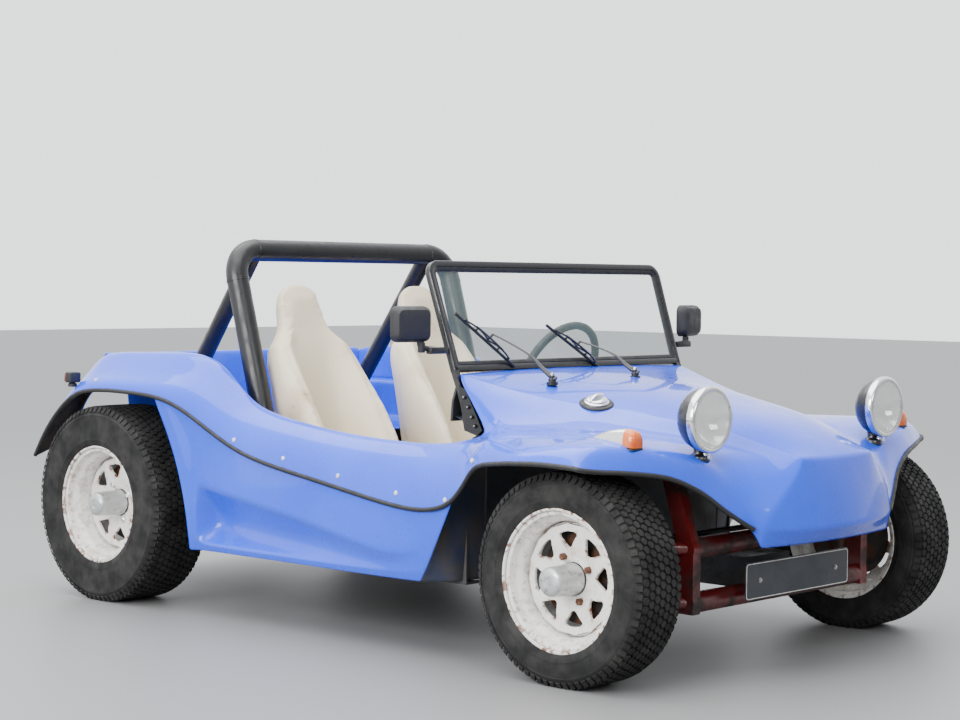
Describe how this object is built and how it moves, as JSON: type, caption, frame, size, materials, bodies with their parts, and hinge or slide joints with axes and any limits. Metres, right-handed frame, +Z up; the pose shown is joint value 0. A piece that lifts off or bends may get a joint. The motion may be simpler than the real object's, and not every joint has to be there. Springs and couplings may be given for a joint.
{
  "type": "dune buggy",
  "caption": "Open two-seat dune buggy with a glass-fibre tub, flat fenders, exposed headlamps, leaning windscreen, roll bar and steered front wheels.",
  "frame": {"origin": "on the ground under the middle of the car's length and width", "axes": "+Z up, -Y towards the nose, +X towards the car's left-hand side, where the steering wheel is"},
  "size_m": [1.7256, 2.94, 1.2214],
  "materials": {
    "body_blue": "glossy",
    "floor_dark": "satin",
    "black_metal": "semi-gloss",
    "black_plastic": "matt",
    "cream_vinyl": "soft sheen",
    "screen_glass": "clear, faint green",
    "chrome": "polished",
    "lamp_red": "glossy",
    "plate_grey": "matt",
    "beam_red": "aged gloss",
    "bare_steel": "rusty",
    "rim_white": "chipped gloss, rust at the edges",
    "tyre": "matt",
    "engine_grey": "oily",
    "exhaust_steel": "matt heat-proof"
  },
  "bodies": {
    "car": {"bonnet": "body_blue", "front_fender_left": "body_blue", "front_fender_right": "body_blue", "side_panel_left": "body_blue", "side_panel_right": "body_blue", "rear_body": "body_blue", "side_pod_left": "body_blue", "side_pod_right": "body_blue", "floor_tub": "floor_dark", "dashboard": "body_blue", "seat_left": "cream_vinyl", "seat_right": "cream_vinyl", "windscreen_frame": "black_metal", "windscreen_glass": "screen_glass", "roll_bar": "black_metal", "steering_column": "black_metal", "headlamp_left": "chrome", "headlamp_right": "chrome", "indicator_left": "chrome", "indicator_right": "chrome", "tail_lamp_left": "lamp_red", "tail_lamp_right": "lamp_red", "number_plate": "plate_grey", "fuel_cap": "chrome", "mirror_left": "black_plastic", "mirror_right": "black_plastic", "wiper_left": "black_metal", "wiper_right": "black_metal", "front_beam": "beam_red", "rear_axle": "black_metal", "engine": "engine_grey", "fan_housing": "black_metal", "exhaust": "exhaust_steel"},
    "knuckle_left_body": {"knuckle_left": "bare_steel"},
    "knuckle_right_body": {"knuckle_right": "bare_steel"},
    "track_rod_body": {"track_rod": "black_metal"},
    "steering_wheel_body": {"steering_wheel": "black_plastic"},
    "front_wheel_left": {"front_rim_left": "rim_white", "front_tyre_left": "tyre"},
    "front_wheel_right": {"front_rim_right": "rim_white", "front_tyre_right": "tyre"},
    "rear_wheel_left": {"rear_rim_left": "rim_white", "rear_tyre_left": "tyre"},
    "rear_wheel_right": {"rear_rim_right": "rim_white", "rear_tyre_right": "tyre"}
  },
  "joints": [
    {"name": "steer_left", "type": "hinge", "parent": "car", "child": "knuckle_left_body", "pos_m": [0.596, -1.046, 0.286], "axis": [0, 0, 1], "range_deg": [-28, 28]},
    {"name": "steer_right", "type": "hinge", "parent": "car", "child": "knuckle_right_body", "pos_m": [-0.596, -1.046, 0.286], "axis": [0, 0, 1], "range_deg": [-28, 28]},
    {"name": "track_rod_swing", "type": "hinge", "parent": "knuckle_left_body", "child": "track_rod_body", "pos_m": [0.596, -0.938, 0.3387], "axis": [0, 0, 1], "range_deg": [-28, 28]},
    {"name": "steering_turn", "type": "hinge", "parent": "car", "child": "steering_wheel_body", "pos_m": [0.32, -0.106, 0.783], "axis": [0, 0.9063, 0.4226], "range_deg": [-392, 392]},
    {"name": "front_spin_left", "type": "hinge", "parent": "knuckle_left_body", "child": "front_wheel_left", "pos_m": [0.7, -1.046, 0.286], "axis": [1, 0, 0], "continuous": true},
    {"name": "front_spin_right", "type": "hinge", "parent": "knuckle_right_body", "child": "front_wheel_right", "pos_m": [-0.7, -1.046, 0.286], "axis": [1, 0, 0], "continuous": true},
    {"name": "rear_spin_left", "type": "hinge", "parent": "car", "child": "rear_wheel_left", "pos_m": [0.66, 0.986, 0.324], "axis": [1, 0, 0], "continuous": true},
    {"name": "rear_spin_right", "type": "hinge", "parent": "car", "child": "rear_wheel_right", "pos_m": [-0.66, 0.986, 0.324], "axis": [1, 0, 0], "continuous": true}
  ],
  "couplings": [
    {"joint": "steer_right", "follows": "steer_left", "ratio": 1},
    {"joint": "track_rod_swing", "follows": "steer_left", "ratio": -1},
    {"joint": "steering_turn", "follows": "steer_left", "ratio": 14}
  ]
}
